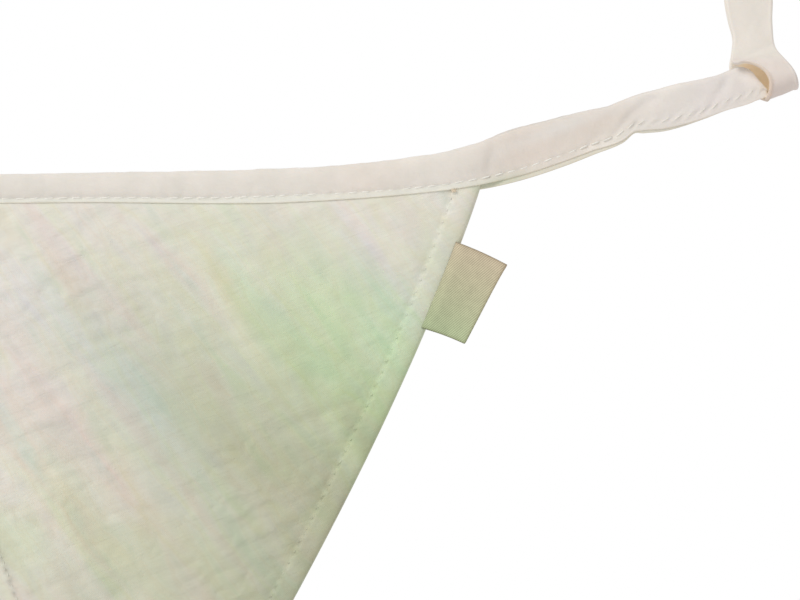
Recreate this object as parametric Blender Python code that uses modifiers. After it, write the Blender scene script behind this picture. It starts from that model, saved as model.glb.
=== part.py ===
"""Fabric bunting: muslin pennants bound in one folded tape, with a strip loop at each end.

Metres, +Z up, the front faces -Y. The origin is midway between the tops of the two hanging loops.
Every size below is in millimetres and is scaled by MM where points are made.
"""

import math
from collections import namedtuple

import bpy
import bmesh
import numpy as np
from mathutils import Vector

MM = 0.001
MERGE = 0.00001

# ---- driving dimensions, in millimetres ----
PENNANT_WIDTH = 173.0
PENNANT_GAP = 34.0
PENNANT_COUNT = 5
HALF_SPAN = 575.8
HEM = 7.3

PANEL_THICK = 2.5
TAPE_WALL = 0.85
LOOP_THICK = 1.25
LABEL_THICK = 0.9

# The tape's fold stands open round a pennant's top edge and is almost shut between pennants.
FOLD_OPEN = 2.8
FOLD_SHUT = 0.45
FOLD_CLOSES_OVER = 6.0
# How far below the fold's outside the pennants' top edges stop.
TOP_EDGE_BELOW_FOLD = 2.2

# ---- the tape's run, from the middle of the bunting to the right end ----
# x and z place its centre line, y is its depth, width is fold to lower edge, roll brings the lower
# edge forward (degrees), and behind is how far the back leg reaches below the front one.
TapeRow = namedtuple("TapeRow", "x z y width roll behind")
TAPE = [
    TapeRow(0.0, -84.8, 0.0, 9.6, 0, 0.6),
    TapeRow(45.0, -84.7, 0.6, 9.4, 0, 0.8),
    TapeRow(86.0, -84.2, 0.2, 9.8, 0, 0.8),
    TapeRow(103.5, -83.4, -0.6, 10.4, 6, 0.4),
    TapeRow(121.0, -83.6, 0.0, 9.9, 0, 0.6),
    TapeRow(165.0, -83.5, 0.8, 9.5, 0, 0.8),
    TapeRow(207.0, -83.1, 0.3, 9.4, 0, 0.8),
    TapeRow(250.0, -82.4, -0.4, 9.5, 0, 0.8),
    TapeRow(293.0, -81.6, 0.0, 10.0, 0, 0.6),
    TapeRow(310.5, -80.6, 0.5, 10.4, -5, 0.4),
    TapeRow(328.0, -80.65, 0.2, 8.8, 0, 0.6),
    TapeRow(366.4, -80.2, 0.0, 8.2, 0, 0.8),
    TapeRow(394.4, -79.8, 0.2, 8.5, 0, 0.8),
    TapeRow(422.4, -79.7, 0.4, 9.2, 0, 0.8),
    TapeRow(439.2, -79.5, 0.4, 9.6, 0, 0.8),
    TapeRow(454.8, -78.9, 0.3, 9.7, 0, 0.8),
    TapeRow(468.3, -78.0, 0.2, 9.8, 0, 0.8),
    TapeRow(481.7, -76.6, 0.0, 10.3, 0, 0.8),
    TapeRow(495.2, -74.8, -0.1, 11.3, 0, 0.8),
    TapeRow(502.4, -73.2, -0.1, 12.4, 0, 0.8),
    TapeRow(512.0, -70.25, 0.0, 13.7, 4, 0.8),
    TapeRow(522.0, -67.25, 0.2, 13.2, 6, 0.8),
    TapeRow(531.8, -64.2, 0.3, 12.0, 6, 0.7),
    TapeRow(539.4, -62.05, 0.3, 10.9, 3, 0.3),
    TapeRow(542.8, -60.1, 0.2, 10.1, -2, 0.0),
    TapeRow(546.1, -59.15, 0.1, 10.7, -5, 0.3),
    TapeRow(552.8, -57.9, -0.2, 12.0, -7, 0.2),
    TapeRow(562.9, -55.2, -0.3, 11.4, -4, 0.0),
    TapeRow(569.5, -53.1, -0.1, 10.5, 0, 0.0),
    TapeRow(574.0, -51.6, 0.0, 11.0, 0, 0.0),
    TapeRow(575.9, -51.0, 0.0, 10.9, 0, 0.0),
    TapeRow(577.5, -50.8, 0.0, 9.9, 0, 0.0),
    TapeRow(578.8, -51.1, 0.1, 8.5, 0, 0.0),
    TapeRow(580.0, -51.7, 0.1, 5.8, 0, 0.0),
    TapeRow(580.7, -52.1, 0.1, 3.9, 0, 0.0),
    TapeRow(581.3, -52.15, 0.1, 2.5, 0, 0.0),
    TapeRow(581.7, -52.1, 0.1, 2.2, 0, 0.0),
]
TAPE_TANGENT_STEP = 3.0
TAPE_TURNS_TO = 570.0

# ---- the pennants, left to right ----
# lean is how far the tip swings right of the middle, drop is tape to tip, bulges round the sides,
# fold, phase and count are the soft upright folds, belly the forward swell, twist turns the
# right side back, tip brings the tip forward.
Pennant = namedtuple("Pennant", "lean drop bulge_left bulge_right fold phase count belly twist tip")
PENNANTS = [
    Pennant(9.0, 196.0, 6.4, 5.0, 2.2, 0.10, 1.6, 2.0, -2.4, 3.0),
    Pennant(3.0, 198.0, 5.4, 6.0, 2.6, 0.55, 1.8, 3.0, 2.0, -2.0),
    Pennant(-2.0, 198.0, 5.6, 5.4, 2.0, 0.30, 1.7, 2.4, -1.6, 3.4),
    Pennant(-4.0, 197.0, 5.2, 6.2, 2.8, 0.80, 1.5, 2.0, 2.6, 1.2),
    Pennant(-15.6, 195.2, 1.2, 6.7, 1.8, 0.15, 1.4, 2.6, 3.0, 2.4),
]
BULGE_POWER = 0.82
FOLD_POWER = 0.65
TWIST_POWER = 0.60
TIP_HALF_WIDTH = 2.6
TIP_ROUND = 0.024
TIP_END_WIDTH = 0.35

# Thickness share of the panel at set distances in from a side edge: rim, hem, stitched line, body.
HEM_PROFILE = [(0.0, 0.42), (1.3, 0.86), (4.2, 1.0), (HEM, 0.62), (10.5, 0.84)]
BODY_SHARE = 0.88
IN_TAPE_SHARE = 0.64
IN_TAPE_UNTIL = 0.02
BODY_COLUMNS = 8
# Rows of the panel: shares of its height inside the tape, then shares of the drop below it.
TAPE_ROWS = [1.0, 0.45]
DROP_ROWS = [0.0, 0.012, 0.05, 0.12, 0.20, 0.28, 0.36, 0.44, 0.52]
DROP_ROWS += [0.60, 0.68, 0.76, 0.84, 0.90, 0.945, 0.972, 0.988, 1.0]

# ---- the right loop: stations round the strip, from under the tape up the front and down the back ----
# l and r are the strip's left and right edges, x from the loop's top, z down, y is the depth.
LoopRow = namedtuple("LoopRow", "lx lz rx rz y")
LOOP_FRONT = [
    LoopRow(6.1, -55.2, 14.8, -52.0, -0.4),
    LoopRow(6.5, -52.7, 14.7, -50.8, -3.8),
    LoopRow(6.3, -50.0, 14.0, -48.5, -5.0),
    LoopRow(4.8, -47.5, 12.8, -46.3, -5.1),
    LoopRow(1.7, -45.7, 10.9, -44.1, -4.6),
    LoopRow(-0.7, -45.3, 9.7, -42.8, -4.1),
    LoopRow(-2.7, -45.2, 8.8, -41.6, -3.8),
    LoopRow(-3.9, -44.2, 8.2, -40.4, -3.5),
    LoopRow(-3.7, -41.9, 7.9, -39.0, -3.4),
    LoopRow(-3.4, -38.6, 7.7, -36.8, -3.3),
    LoopRow(-4.6, -33.6, 7.5, -32.6, -3.3),
    LoopRow(-5.5, -28.5, 7.6, -28.1, -3.5),
    LoopRow(-6.0, -22.5, 7.0, -22.5, -4.0),
    LoopRow(-6.2, -16.0, 6.4, -16.0, -4.6),
    LoopRow(-6.2, -10.0, 6.2, -10.0, -5.1),
]
LOOP_BACK = [
    LoopRow(-6.2, -10.0, 6.2, -10.0, 5.1),
    LoopRow(-6.1, -16.0, 6.4, -16.0, 4.4),
    LoopRow(-5.8, -22.5, 7.0, -22.5, 3.2),
    LoopRow(-5.3, -28.5, 7.6, -28.8, 2.2),
    LoopRow(-4.4, -33.4, 7.5, -33.4, 1.8),
    LoopRow(-3.2, -38.1, 7.6, -37.6, 1.9),
    LoopRow(-3.4, -42.0, 8.0, -41.0, 2.5),
    LoopRow(-3.9, -46.0, 8.0, -44.2, 3.5),
    LoopRow(-2.8, -49.8, 8.8, -47.4, 4.0),
    LoopRow(0.8, -53.2, 11.0, -50.0, 3.7),
    LoopRow(5.3, -55.3, 13.4, -51.7, 2.3),
]
LOOP_TOP_RADIUS = 5.2
LOOP_TOP_STEPS = 7
LOOP_COLUMNS = 3

# ---- the label: where it leaves the right pennant's edge, as shares of the drop ----
LABEL_FROM, LABEL_TO = 0.0822, 0.2035
LABEL_OUT_TOP, LABEL_OUT_FOOT = 16.0, 12.6
LABEL_INSIDE = 1.5
LABEL_CURL = 1.6
LABEL_CLEARANCE = 0.5


def curve_through(keys, values, at):
    """A smooth curve through (key, value) rows, read at the given keys. Slopes are the mean of the
    two neighbouring secants, so the curve keeps the rows' own shape."""
    keys, values, at = (np.asarray(a, float) for a in (keys, values, at))
    secants = np.diff(values) / np.diff(keys)
    slopes = np.empty(len(keys))
    slopes[0], slopes[-1] = secants[0], secants[-1]
    slopes[1:-1] = (secants[:-1] + secants[1:]) / 2
    i = np.clip(np.searchsorted(keys, at) - 1, 0, len(keys) - 2)
    span = keys[i + 1] - keys[i]
    u = np.clip((at - keys[i]) / span, 0, 1)
    rise = values[i] * (2 * u**3 - 3 * u**2 + 1) + values[i + 1] * (3 * u**2 - 2 * u**3)
    return rise + span * (slopes[i] * (u**3 - 2 * u**2 + u) + slopes[i + 1] * (u**3 - u**2))


TAPE_X = [row.x for row in TAPE]


def tape_value(name, x):
    return float(curve_through(TAPE_X, [getattr(row, name) for row in TAPE], abs(x)))


def tape_centre(x):
    return Vector((x, tape_value("y", x), tape_value("z", x)))


def tape_frame(x):
    """The tape at x: centre, across (lower edge to fold), facing (out of its front) and width."""
    step = TAPE_TANGENT_STEP
    held = max(-TAPE_TURNS_TO, min(TAPE_TURNS_TO, x))
    along = (tape_centre(held + step) - tape_centre(held - step)).normalized()
    facing = Vector((0, -1, 0))
    facing = (facing - facing.dot(along) * along).normalized()
    across = facing.cross(along)
    roll = math.radians(tape_value("roll", x))
    tilted = across * math.cos(roll) - facing * math.sin(roll)
    turned = facing * math.cos(roll) + across * math.sin(roll)
    return tape_centre(x), tilted, turned, tape_value("width", x)


def pennant_ends(index):
    """Where the index-th pennant meets the tape, left and right."""
    pitch = PENNANT_WIDTH + PENNANT_GAP
    middle = (index - (PENNANT_COUNT - 1) / 2) * pitch
    return middle - PENNANT_WIDTH / 2, middle + PENNANT_WIDTH / 2


def tape_gap(x):
    """The space inside the fold at x."""
    outside = min(max(left - x, x - right, 0) for left, right in map(pennant_ends, range(PENNANT_COUNT)))
    share = min(max((outside - 0.6) / FOLD_CLOSES_OVER, 0), 1)
    return FOLD_OPEN + (FOLD_SHUT - FOLD_OPEN) * share * share * (3 - 2 * share)


def tip_of(index):
    """The pennant's tip, hanging below the middle of its top edge."""
    p = PENNANTS[index]
    left, right = pennant_ends(index)
    middle = (left + right) / 2
    centre, across, _, width = tape_frame(middle)
    lower = centre - across * width / 2
    return Vector((middle + p.lean, -p.tip, lower.z - p.drop))


def swell(share, power):
    """Rises from 0 to 1 and falls back to 0 as share goes from 0 to 1. A low power peaks early."""
    return math.sin(math.pi * min(share, 1.0) ** power)


def pennant_point(index, s, v):
    """A point of the pennant's middle surface. s runs left to right and v from tape to tip, both 0 to 1."""
    p = PENNANTS[index]
    left, right = pennant_ends(index)
    centre, across, _, width = tape_frame(left + (right - left) * s)
    top = centre - across * width / 2
    point = top.lerp(tip_of(index), v)
    side = 2 * s - 1
    sideways = p.bulge_right * s - p.bulge_left * (1 - s)
    point.x += sideways * swell(v, BULGE_POWER) + side * TIP_HALF_WIDTH * v
    folds = p.fold * math.sin(2 * math.pi * (p.count * s + p.phase)) * swell(v, FOLD_POWER)
    belly = p.belly * swell(s, 1) * swell(v, 1)
    turn = p.twist * side * swell(v, TWIST_POWER)
    point.y += turn - belly - folds
    return point


def columns_at(width, inner_columns):
    """Shares across a row of the given width: the hem's lines at their own distances, then even ones."""
    offsets = [distance for distance, _ in HEM_PROFILE]
    scale = min(1.0, width / (2 * offsets[-1]) * 0.9)
    side = [offset * scale / width for offset in offsets]
    inner = np.linspace(side[-1], 1 - side[-1], inner_columns + 2)[1:-1]
    return side + list(inner) + [1 - share for share in reversed(side)]


def thickness_share(column, count, v):
    """How thick the panel is at a column, as a share of PANEL_THICK."""
    shares = [share for _, share in HEM_PROFILE]
    from_side = min(column, count - 1 - column)
    share = shares[from_side] if from_side < len(shares) else BODY_SHARE
    return share if v > IN_TAPE_UNTIL else min(share, IN_TAPE_SHARE)


def pennant_rows(index):
    """Rows of the pennant's middle surface from inside the tape to the tip, as (v, points)."""
    left, right = pennant_ends(index)
    rows = []
    for height_share in TAPE_ROWS:
        points = []
        for s in columns_at(PENNANT_WIDTH, BODY_COLUMNS):
            centre, across, _, width = tape_frame(left + (right - left) * s)
            height = height_share * (width - TOP_EDGE_BELOW_FOLD)
            points.append(centre + across * (height - width / 2))
        rows.append((0.0, points))
    for v in DROP_ROWS:
        row_width = (pennant_point(index, 1, v) - pennant_point(index, 0, v)).length
        points = [pennant_point(index, s, v) for s in columns_at(row_width, BODY_COLUMNS)]
        # The turned point is blunt: its last rows close in to a rounded end.
        closing = min(max(1 - (1 - v) / TIP_ROUND, 0), 1)
        narrow = max(math.sqrt(1 - closing**2), TIP_END_WIDTH)
        middle_x = (points[0].x + points[-1].x) / 2
        for point in points:
            point.x = middle_x + (point.x - middle_x) * narrow
        rows.append((v, points))
    return rows


def clear_scene():
    for obj in list(bpy.data.objects):
        bpy.data.objects.remove(obj)


def cloth_material(name, colour, roughness=0.92):
    material = bpy.data.materials.new(name)
    material.use_nodes = True
    shader = material.node_tree.nodes["Principled BSDF"]
    shader.inputs["Base Color"].default_value = (*colour, 1)
    shader.inputs["Roughness"].default_value = roughness
    shader.inputs["Metallic"].default_value = 0.0
    return material


def sheet_object(name, grid, thick, material, collection, shares=None):
    """A cloth sheet: a grid laid on the given rows of points and thickened about them.
    shares gives each point's share of the thickness. A last row equal to the first closes a ring."""
    rows, columns = len(grid), len(grid[0])
    mesh = bpy.data.meshes.new(name)
    bm = bmesh.new()
    bmesh.ops.create_grid(bm, x_segments=columns - 1, y_segments=rows - 1, size=1)
    for vert, point in zip(bm.verts, (point for row in grid for point in row)):
        vert.co = point * MM
    bmesh.ops.remove_doubles(bm, verts=bm.verts, dist=MERGE)
    bm.to_mesh(mesh)
    bm.free()
    mesh.materials.append(material)
    mesh.shade_smooth()
    obj = bpy.data.objects.new(name, mesh)
    collection.objects.link(obj)
    solid = obj.modifiers.new("Thickness", "SOLIDIFY")
    solid.thickness = thick * MM
    solid.offset = 0
    solid.use_even_offset = shares is None
    if shares is not None:
        group = obj.vertex_groups.new(name="thickness")
        for number, share in enumerate(share for row in shares for share in row):
            group.add([number], share, "REPLACE")
        solid.vertex_group = group.name
        solid.thickness_vertex_group = 0
    return obj


def add_pennant(index, material, collection):
    rows = pennant_rows(index)
    count = len(rows[0][1])
    shares = [[thickness_share(column, count, v) for column in range(count)] for v, _ in rows]
    grid = [points for _, points in rows]
    return sheet_object(f"pennant_{index + 1}", grid, PANEL_THICK, material, collection, shares)


def tape_stations():
    """Where the tape is sectioned: closer together where it bends and where its fold opens."""
    half = [0.0]
    for left, right in map(pennant_ends, range(PENNANT_COUNT // 2, PENNANT_COUNT)):
        start = max(left, 0.0)
        if start > 0:
            half += [left - 7.5, left - 4.0, left - 0.6]
        half += list(np.linspace(start, right, 11 if start > 0 else 6)[0 if start > 0 else 1 :])
        half += [right + 0.6, right + 4.0, right + 7.5]
    half += list(np.linspace(half[-1] + 5.5, TAPE[-8].x, 11))
    half += [row.x for row in TAPE[-7:]]
    return [-x for x in reversed(half[1:])] + half


def tape_section(x):
    """The folded strip's middle line at x: up the front leg, over the fold and down the back leg."""
    centre, across, facing, width = tape_frame(x)
    reach = (tape_gap(x) + TAPE_WALL) / 2
    low = -width / 2
    shoulder = width / 2 - TAPE_WALL / 2 - reach
    half_way = (low + shoulder) / 2
    outline = [(reach, low), (reach, half_way)]
    for degrees in (0, 45, 90, 135, 180):
        angle = math.radians(degrees)
        outline.append((reach * math.cos(angle), shoulder + reach * math.sin(angle)))
    outline += [(-reach, half_way), (-reach, low - tape_value("behind", x))]
    return [centre + facing * out + across * up for out, up in outline]


def add_tape(material, collection):
    grid = [tape_section(x) for x in tape_stations()]
    return sheet_object("tape", grid, TAPE_WALL, material, collection)


def loop_stations():
    """All stations of the right loop in order, from under the tape and back to it. The round top has
    an odd number of steps, so its middle step is a level face, and its outside is at z = 0."""
    half_width = LOOP_FRONT[-1].rx
    half_step = math.pi / LOOP_TOP_STEPS / 2
    centre_z = -LOOP_TOP_RADIUS * math.cos(half_step) - LOOP_THICK / 2
    top = []
    for step in range(1, LOOP_TOP_STEPS):
        angle = math.pi * step / LOOP_TOP_STEPS
        z = centre_z + LOOP_TOP_RADIUS * math.sin(angle)
        top.append(LoopRow(-half_width, z, half_width, z, -LOOP_TOP_RADIUS * math.cos(angle)))
    return LOOP_FRONT + top + LOOP_BACK + LOOP_FRONT[:1]


def add_loop(name, side, material, collection):
    """The strip's closed loop at the right end (side 1) or, mirrored, at the left end (side -1)."""
    grid = []
    for row in loop_stations():
        left, right = Vector((row.lx, row.y, row.lz)), Vector((row.rx, row.y, row.rz))
        points = [left.lerp(right, share) for share in np.linspace(0, 1, LOOP_COLUMNS)]
        grid.append([Vector((side * (HALF_SPAN + p.x), p.y, p.z)) for p in points])
    if side > 0:
        grid = [row[::-1] for row in grid]
    return sheet_object(name, grid, LOOP_THICK, material, collection)


def add_label(material, collection):
    """The folded woven label, leaving the right pennant's edge seam over its front."""
    index = PENNANT_COUNT - 1
    grid = []
    for down_share in np.linspace(0, 1, 6):
        v = LABEL_FROM + (LABEL_TO - LABEL_FROM) * down_share
        reach = LABEL_OUT_TOP + (LABEL_OUT_FOOT - LABEL_OUT_TOP) * down_share
        edge, inner = pennant_point(index, 1, v), pennant_point(index, 0.9, v)
        down = (pennant_point(index, 1, v + 0.02) - edge).normalized()
        outward = down.cross(Vector((0, 1, 0))).normalized()
        if outward.dot(edge - inner) < 0:
            outward.negate()
        forward = Vector((0, -(PANEL_THICK / 2 + LABEL_CLEARANCE + LABEL_THICK / 2), 0))
        row = []
        for share in np.linspace(0, 1, 6):
            distance = -LABEL_INSIDE + share * reach
            curl = Vector((0, LABEL_CURL * share**2, 0))
            row.append(edge + outward * distance + forward + curl)
        grid.append(row)
    return sheet_object("label", grid, LABEL_THICK, material, collection)


def build():
    clear_scene()
    collection = bpy.data.collections.new("fabric_bunting")
    bpy.context.scene.collection.children.link(collection)
    muslin = cloth_material("muslin", (0.66, 0.62, 0.52))
    binding = cloth_material("binding", (0.75, 0.69, 0.62))
    woven = cloth_material("woven_label", (0.46, 0.38, 0.27), 0.7)
    for index in range(PENNANT_COUNT):
        add_pennant(index, muslin, collection)
    add_tape(binding, collection)
    add_loop("loop_right", 1, binding, collection)
    add_loop("loop_left", -1, binding, collection)
    add_label(woven, collection)


build()
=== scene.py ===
"""The looks of the fabric bunting: crinkled muslin pennants, folded tape, strip loops and woven label.

Lengths are in millimetres and are scaled by MM where meshes are made. +Z is up, the front faces -Y.
Every sheet is a middle surface with a front and a back face, which meet at the sheet's edges.
"""

import math
from collections import namedtuple

import bpy
import numpy as np
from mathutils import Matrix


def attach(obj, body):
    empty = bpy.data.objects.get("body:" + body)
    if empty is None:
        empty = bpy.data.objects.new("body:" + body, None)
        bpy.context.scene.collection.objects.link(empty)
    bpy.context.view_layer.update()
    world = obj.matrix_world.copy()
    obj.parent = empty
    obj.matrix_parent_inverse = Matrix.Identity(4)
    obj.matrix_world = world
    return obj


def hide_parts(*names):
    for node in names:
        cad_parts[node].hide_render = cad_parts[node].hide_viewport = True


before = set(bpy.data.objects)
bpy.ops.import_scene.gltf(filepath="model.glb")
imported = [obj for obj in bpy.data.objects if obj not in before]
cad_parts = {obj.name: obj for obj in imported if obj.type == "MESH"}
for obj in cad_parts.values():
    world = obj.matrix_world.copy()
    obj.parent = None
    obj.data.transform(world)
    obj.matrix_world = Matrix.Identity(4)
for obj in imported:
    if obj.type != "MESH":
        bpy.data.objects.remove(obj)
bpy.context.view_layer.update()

MM = 0.001

# ---- sizes of the pieces ----
# HALF_SPAN is from the middle to each loop, and HEM from a pennant's side to its topstitching.
PENNANT_WIDTH = 173.0
PENNANT_GAP = 34.0
PENNANT_COUNT = 5
HALF_SPAN = 575.8
HEM = 7.3

# The tape's fold stands open over a pennant's top edge, and shuts beside it.
FOLD_OPEN = 2.1
FOLD_SHUT = 0.45
FOLD_SHUTS_FROM = 0.6
FOLD_SHUTS_OVER = 6.0
TOP_EDGE_BELOW_FOLD = 2.2
PANEL_HALF_IN_TAPE = 0.58

# The topstitching presses the tape's cloth to thin lips, and leaves it puffed above them.
TAPE_WALL = 0.85
TAPE_LIP_HALF = 0.18
TAPE_LIP_WIDTH = 3.0
TAPE_PUFF = 0.28
TAPE_PRESSED_GAP = 0.03
LOOP_THICK = 1.25
LABEL_LAYER = 0.36

# ---- stitches ----
# A pitch is from one needle hole to the next, and the thread shows over STITCH_SHARE of it. The tape's
# pitch gets shorter towards its ends.
HEM_PITCH = 3.5
TAPE_PITCH_X = [0, 300, 440, 540]
TAPE_PITCH = [4.05, 4.05, 3.85, 3.5]
STITCH_SHARE = 0.70
THREAD_RADIUS = 0.22
THREAD_FLATTENED = 0.6
THREAD_SIDES = 6
# A stitch from end to end: share of its length, lift off the cloth, and share of the thread's radius.
STITCH_SHARES = [0.0, 0.12, 0.35, 0.65, 0.88, 1.0]
STITCH_LIFTS = [-0.26, 0.0, 0.06, 0.06, 0.0, -0.26]
STITCH_SWELLS = [0.55, 0.95, 1.0, 1.0, 0.95, 0.55]
# The hem's thread is this far off the middle surface. The slants set each stitch's ends off the line.
HEM_THREAD_OUT = 0.76
HEM_SLANT = 0.14
TAPE_SLANT = -0.12
TAIL_SLANT = -0.45
# How far above the tape's lower edge its topstitching runs, from the middle to the right end.
TAPE_STITCH_X = [0, 380, 402, 425, 447, 469, 485, 505, 535, 550, 566, 574, 582]
TAPE_STITCH_UP = [1.4, 1.35, 1.45, 1.65, 2.2, 1.85, 1.75, 1.9, 1.9, 2.6, 2.3, 2.8, 2.4]

# ---- the tape's run, from the middle of the bunting to the right end ----
# x and z place its centre line, y is its depth, width is fold to lower edge, roll brings the lower
# edge forward (degrees), and behind is how far the back leg reaches below the front one.
TapeRow = namedtuple("TapeRow", "x z y width roll behind")
TAPE = [TapeRow(*row) for row in [
    (0, -84.8, 0, 9.6, 0, 0.6),
    (45, -84.7, 0.6, 9.4, 0, 0.8),
    (86, -84.2, 0.2, 9.8, 0, 0.8),
    (103.5, -83.4, -0.6, 10.4, 6, 0.4),
    (121, -83.6, 0, 9.9, 0, 0.6),
    (165, -83.5, 0.8, 9.5, 0, 0.8),
    (207, -83.1, 0.3, 9.4, 0, 0.8),
    (250, -82.4, -0.4, 9.5, 0, 0.8),
    (293, -81.6, 0, 10, 0, 0.6),
    (310.5, -80.6, 0.5, 10.4, -5, 0.4),
    (328, -80.65, 0.2, 8.8, 0, 0.6),
    (366.4, -80.2, 0, 8.2, 0, 0.8),
    (394.4, -79.8, 0.2, 8.5, 0, 0.8),
    (422.4, -79.7, 0.4, 9.2, 0, 0.8),
    (439.2, -79.5, 0.4, 9.6, 0, 0.8),
    (454.8, -78.9, 0.3, 9.7, 0, 0.8),
    (468.3, -78, 0.2, 9.8, 0, 0.8),
    (481.7, -76.6, 0, 10.3, 0, 0.8),
    (495.2, -74.65, -0.1, 11, 0, 1.1),
    (502.4, -72.95, -0.1, 11.9, 0, 1.3),
    (512, -70, 0, 13.2, 4, 1.3),
    (522, -67, 0.2, 12.7, 6, 1.3),
    (531.8, -64, 0.3, 11.6, 6, 1.1),
    (539.4, -61.9, 0.3, 10.6, 3, 0.6),
    (542.8, -59.9, 0.2, 9.7, -2, 0.4),
    (546.1, -58.9, 0.1, 10.2, -5, 0.8),
    (552.8, -57.65, -0.2, 11.5, -7, 0.7),
    (562.9, -55.1, -0.3, 11.2, -4, 0.2),
    (569.5, -53.1, -0.1, 10.5, 0, 0),
    (574, -51.6, 0, 11, 0, 0),
    (575.9, -51, 0, 10.9, 0, 0),
    (577.5, -50.8, 0, 9.9, 0, 0),
    (578.8, -51.1, 0.1, 8.5, 0, 0),
    (580, -51.95, 0.1, 6.2, 0, 0),
    (581, -52.5, 0.1, 4.3, 0, 0),
    (581.9, -52.85, 0.1, 2.8, 0, 0),
    (582.5, -52.95, 0.1, 2.3, 0, 0),
]]
# Its direction is read this far to both sides, and stays the same from TAPE_TURNS_TO to its cut end.
TAPE_TANGENT_STEP = 3.0
TAPE_TURNS_TO = 570.0
# Stations stand closer together to the right of TAPE_FINE_FROM, where the photograph shows the tape.
TAPE_STEP = 1.2
TAPE_FINE_STEP = 0.7
TAPE_FINE_FROM = 355.0
TAPE_EDGE_COLUMNS = [0.0, 0.06, 0.18, 0.36, 0.6, 0.85, 1.1, 1.35, 1.6, 1.9, 2.25, 2.6, 3.0, 3.4]
TAPE_MIDDLE_COLUMNS = 16
# On its free ends, past TAIL_FROM, its seam puckers more.
TAIL_FROM, TAIL_COMES_OVER = 536, 12

# Soft dents in the tape's front: x, height above its centre line, angle to it, half length and width, depth.
Dent = namedtuple("Dent", "x up angle length width depth")
TAPE_DENTS = [Dent(*row) for row in [
    (503.6, -1.6, 72, 2.7, 1.1, 0.42),
    (506.6, 2.6, 66, 3, 1.8, 0.22),
    (533, -2.6, 24, 5, 1.2, 0.30),
    (541.8, -0.6, 27, 6.5, 1, 0.55),
    (549.5, 3, 26, 5, 1.5, 0.42),
    (545, -1.8, 24, 4, 0.9, 0.22),
    (557.5, -1.2, 14, 5, 1.2, 0.24),
    (569.6, 1.6, 42, 4.4, 1.1, 0.50),
    (516, 2.2, -30, 3.5, 1.6, 0.20),
    (526, 0.8, 35, 4, 1.8, 0.20),
    (104, 0.6, 60, 4, 2, 0.45),
    (311, 0.8, -50, 4, 2, 0.45),
]]

# ---- the pennants, left to right ----
# lean is how far the tip swings right of the middle, drop is tape to tip, bulges round the sides,
# fold, phase and count are the soft upright folds, belly the forward swell, twist turns the
# right side back, tip brings the tip forward.
Pennant = namedtuple("Pennant", "lean drop bulge_left bulge_right fold phase count belly twist tip")
PENNANTS = [Pennant(*row) for row in [
    (9, 196, 6.4, 5, 2.2, 0.10, 1.6, 2, -2.4, 3),
    (3, 198, 5.4, 6, 2.6, 0.55, 1.8, 3, 2, -2),
    (-2, 198, 5.6, 5.4, 2, 0.30, 1.7, 2.4, -1.6, 3.4),
    (-4, 197, 5.2, 6.2, 2.8, 0.80, 1.5, 2, 2.6, 1.2),
    (-15.6, 195.2, 1.2, 6.7, 1.8, 0.15, 1.4, 2.6, 3, 2.4),
]]
# A swell with a lower power is highest nearer the tape. The tip is round over TIP_ROUND of the drop.
BULGE_POWER = 0.82
FOLD_POWER = 0.65
TWIST_POWER = 0.60
TIP_HALF_WIDTH = 2.6
TIP_ROUND = 0.024
TIP_END_WIDTH = 0.35
# The rows inside the tape, from -1 at a pennant's top edge to 0 at the tape's lower edge, the share of
# its drop over which the tape lets it go, and how much of it is in the tape.
ROWS_IN_TAPE = [-1.0, -0.97, -0.6, -0.15]
TAPE_LETS_GO_BY = 1 / 144

# Half thickness of a pennant at distances in from a side edge: round rim, hem, stitched line, body.
HEM_HEIGHTS = [
    (0, 0), (0.12, 0.34), (0.35, 0.58), (0.8, 0.84), (1.5, 1.00), (3, 1.12), (5.2, 1.15),
    (6.7, 1.08), (HEM, 0.82), (7.8, 0.50), (9, 0.52), (12, 0.80), (16, 0.98),
]
HEM_SCALLOP = 0.60
RIM_SHADE_WIDTH = 2.6
PIT_DEPTH = 0.22
HEM_COLUMNS = [0, 0.12, 0.3, 0.55, 0.9, 1.4, 2.1, 2.9, 3.7, 4.5, 5.2, 5.8, 6.2]
HEM_COLUMNS += [6.5, 6.8, 7.05, HEM, 7.55, 7.8, 8.1, 8.5, 9.1, 10]
# The side seams stop before they meet: at this row, and where a pennant is this many hems wide.
SEAM_LAST_ROW = 0.93
SEAM_FADES_OVER = 0.04
SEAM_LAST_WIDTH = 2.2

# The crinkles of the muslin: angle to +X, length along and width across them, and height.
Crinkle = namedtuple("Crinkle", "angle length width height")
CRINKLES = [Crinkle(*row) for row in [
    (20, 11, 2.1, 0.19),
    (25, 22, 4.6, 0.19),
    (-52, 22, 3.6, 0.07),
    (-46, 38, 8, 0.12),
]]
ROLL = Crinkle(80, 24.0, 16.0, 0.26)
# A crinkle's line wanders by a share of its width. Its valleys are narrower and deeper than its puffs,
# and on the hem it keeps a small share of its height.
CRINKLE_WANDER = 0.6
VALLEY_WIDTH = 0.20
VALLEY_DEPTH = 1.3
HEM_CRINKLE_SHARE = 0.16

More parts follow.
